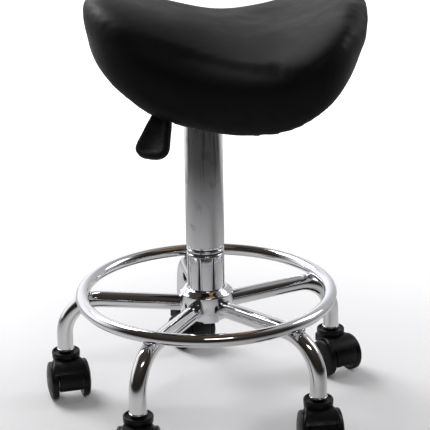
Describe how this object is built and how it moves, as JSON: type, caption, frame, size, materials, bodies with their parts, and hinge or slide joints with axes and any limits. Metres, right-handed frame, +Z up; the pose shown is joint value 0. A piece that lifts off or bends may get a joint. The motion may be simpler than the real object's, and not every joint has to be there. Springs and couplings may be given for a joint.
{
  "type": "saddle stool",
  "caption": "Saddle stool on casters: chromed bent-tube base with a foot ring, a gas-lift column with a hanging release paddle, and a black vinyl saddle seat.",
  "frame": {"origin": "on the floor, on the column's axis", "axes": "+Z up along the column, +X from the saddle's low front (pommel) to its high back (cantle), +Y to the sitter's right when they face the front; the picture looks along +Y"},
  "size_m": [0.4397, 0.4361, 0.5595],
  "materials": {
    "chrome_plate": "polished",
    "bearing_steel": "bright zinc",
    "black_paint": "satin",
    "black_nylon": "semi-gloss moulded",
    "bush_plastic": "matt",
    "rubber": "matt",
    "plywood": "unfinished",
    "vinyl": "satin vinyl",
    "foam": "moulded foam"
  },
  "bodies": {
    "base": {"hub": "chrome_plate", "taper_sleeve": "chrome_plate", "stand_tube": "chrome_plate", "guide_bush": "bush_plastic", "foot_ring": "chrome_plate", "lower_race": "bearing_steel", "leg_1": "chrome_plate", "leg_2": "chrome_plate", "leg_3": "chrome_plate", "leg_4": "chrome_plate", "leg_5": "chrome_plate", "leg_socket_1": "chrome_plate", "leg_socket_2": "chrome_plate", "leg_socket_3": "chrome_plate", "leg_socket_4": "chrome_plate", "leg_socket_5": "chrome_plate"},
    "spindle": {"piston_rod": "bearing_steel", "rod_clip": "bearing_steel", "ball_cage": "bearing_steel", "upper_race": "bearing_steel", "bump_stop": "rubber", "piston": "bush_plastic"},
    "seat": {"gas_cylinder": "black_paint", "seat_plate": "black_paint", "seat_board": "plywood", "seat_foam": "foam", "seat_cover": "vinyl", "seat_screw_1": "bearing_steel", "seat_screw_2": "bearing_steel", "seat_screw_3": "bearing_steel", "seat_screw_4": "bearing_steel", "lever_pivot_pin": "bearing_steel"},
    "lever": {"lever_arm": "black_paint", "lever_grip": "black_nylon"},
    "valve": {"release_pin": "bearing_steel"},
    "caster_1": {"caster_hood_1": "black_nylon", "caster_stem_1": "bearing_steel", "caster_axle_1": "bearing_steel"},
    "wheel_a_1": {"caster_wheel_a_1": "black_nylon"},
    "wheel_b_1": {"caster_wheel_b_1": "black_nylon"},
    "caster_2": {"caster_hood_2": "black_nylon", "caster_stem_2": "bearing_steel", "caster_axle_2": "bearing_steel"},
    "wheel_a_2": {"caster_wheel_a_2": "black_nylon"},
    "wheel_b_2": {"caster_wheel_b_2": "black_nylon"},
    "caster_3": {"caster_hood_3": "black_nylon", "caster_stem_3": "bearing_steel", "caster_axle_3": "bearing_steel"},
    "wheel_a_3": {"caster_wheel_a_3": "black_nylon"},
    "wheel_b_3": {"caster_wheel_b_3": "black_nylon"},
    "caster_4": {"caster_hood_4": "black_nylon", "caster_stem_4": "bearing_steel", "caster_axle_4": "bearing_steel"},
    "wheel_a_4": {"caster_wheel_a_4": "black_nylon"},
    "wheel_b_4": {"caster_wheel_b_4": "black_nylon"},
    "caster_5": {"caster_hood_5": "black_nylon", "caster_stem_5": "bearing_steel", "caster_axle_5": "bearing_steel"},
    "wheel_a_5": {"caster_wheel_a_5": "black_nylon"},
    "wheel_b_5": {"caster_wheel_b_5": "black_nylon"}
  },
  "joints": [
    {"name": "seat_swivel", "type": "hinge", "parent": "base", "child": "spindle", "pos_m": [0, 0, 0.15], "axis": [0, 0, 1], "continuous": true},
    {"name": "seat_lift", "type": "slide", "parent": "spindle", "child": "seat", "axis": [0, 0, 1], "range_m": [0, 0.12]},
    {"name": "lever_tilt", "type": "hinge", "parent": "seat", "child": "lever", "pos_m": [-0.01378, -0.02888, 0.454], "axis": [-0.9026, 0.4305, 0], "range_deg": [0, 3], "stiffness_Nm_per_rad": 20, "springref_deg": -5.73},
    {"name": "valve_push", "type": "slide", "parent": "seat", "child": "valve", "axis": [0, 0, 1], "range_m": [-0.0017, 0]},
    {"name": "caster_swivel_1", "type": "hinge", "parent": "base", "child": "caster_1", "pos_m": [-0.19479, 0.02946, 0.064], "axis": [0, 0, 1], "continuous": true},
    {"name": "wheel_spin_a_1", "type": "hinge", "parent": "caster_1", "child": "wheel_a_1", "pos_m": [-0.19116, 0.0149, 0.026], "axis": [0.9703, 0.2419, 0], "continuous": true},
    {"name": "wheel_spin_b_1", "type": "hinge", "parent": "caster_1", "child": "wheel_b_1", "pos_m": [-0.19116, 0.0149, 0.026], "axis": [0.9703, 0.2419, 0], "continuous": true},
    {"name": "caster_swivel_2", "type": "hinge", "parent": "base", "child": "caster_2", "pos_m": [-0.08821, -0.17615, 0.064], "axis": [0, 0, 1], "continuous": true},
    {"name": "wheel_spin_a_2", "type": "hinge", "parent": "caster_2", "child": "wheel_a_2", "pos_m": [-0.08847, -0.19115, 0.026], "axis": [0.9998, -0.0175, 0], "continuous": true},
    {"name": "wheel_spin_b_2", "type": "hinge", "parent": "caster_2", "child": "wheel_b_2", "pos_m": [-0.08847, -0.19115, 0.026], "axis": [0.9998, -0.0175, 0], "continuous": true},
    {"name": "caster_swivel_3", "type": "hinge", "parent": "base", "child": "caster_3", "pos_m": [0.14027, -0.13832, 0.064], "axis": [0, 0, 1], "continuous": true},
    {"name": "wheel_spin_a_3", "type": "hinge", "parent": "caster_3", "child": "wheel_a_3", "pos_m": [0.14184, -0.15324, 0.026], "axis": [0.9945, 0.1045, 0], "continuous": true},
    {"name": "wheel_spin_b_3", "type": "hinge", "parent": "caster_3", "child": "wheel_b_3", "pos_m": [0.14184, -0.15324, 0.026], "axis": [0.9945, 0.1045, 0], "continuous": true},
    {"name": "caster_swivel_4", "type": "hinge", "parent": "base", "child": "caster_4", "pos_m": [0.1749, 0.09066, 0.064], "axis": [0, 0, 1], "continuous": true},
    {"name": "wheel_spin_a_4", "type": "hinge", "parent": "caster_4", "child": "wheel_a_4", "pos_m": [0.18263, 0.0778, 0.026], "axis": [0.8572, 0.515, 0], "continuous": true},
    {"name": "wheel_spin_b_4", "type": "hinge", "parent": "caster_4", "child": "wheel_b_4", "pos_m": [0.18263, 0.0778, 0.026], "axis": [0.8572, 0.515, 0], "continuous": true},
    {"name": "caster_swivel_5", "type": "hinge", "parent": "base", "child": "caster_5", "pos_m": [-0.03218, 0.19435, 0.064], "axis": [0, 0, 1], "continuous": true},
    {"name": "wheel_spin_a_5", "type": "hinge", "parent": "caster_5", "child": "wheel_a_5", "pos_m": [-0.02294, 0.18254, 0.026], "axis": [0.788, 0.6157, 0], "continuous": true},
    {"name": "wheel_spin_b_5", "type": "hinge", "parent": "caster_5", "child": "wheel_b_5", "pos_m": [-0.02294, 0.18254, 0.026], "axis": [0.788, 0.6157, 0], "continuous": true}
  ],
  "couplings": [
    {"joint": "valve_push", "follows": "lever_tilt", "m_per_rad": -0.032}
  ]
}
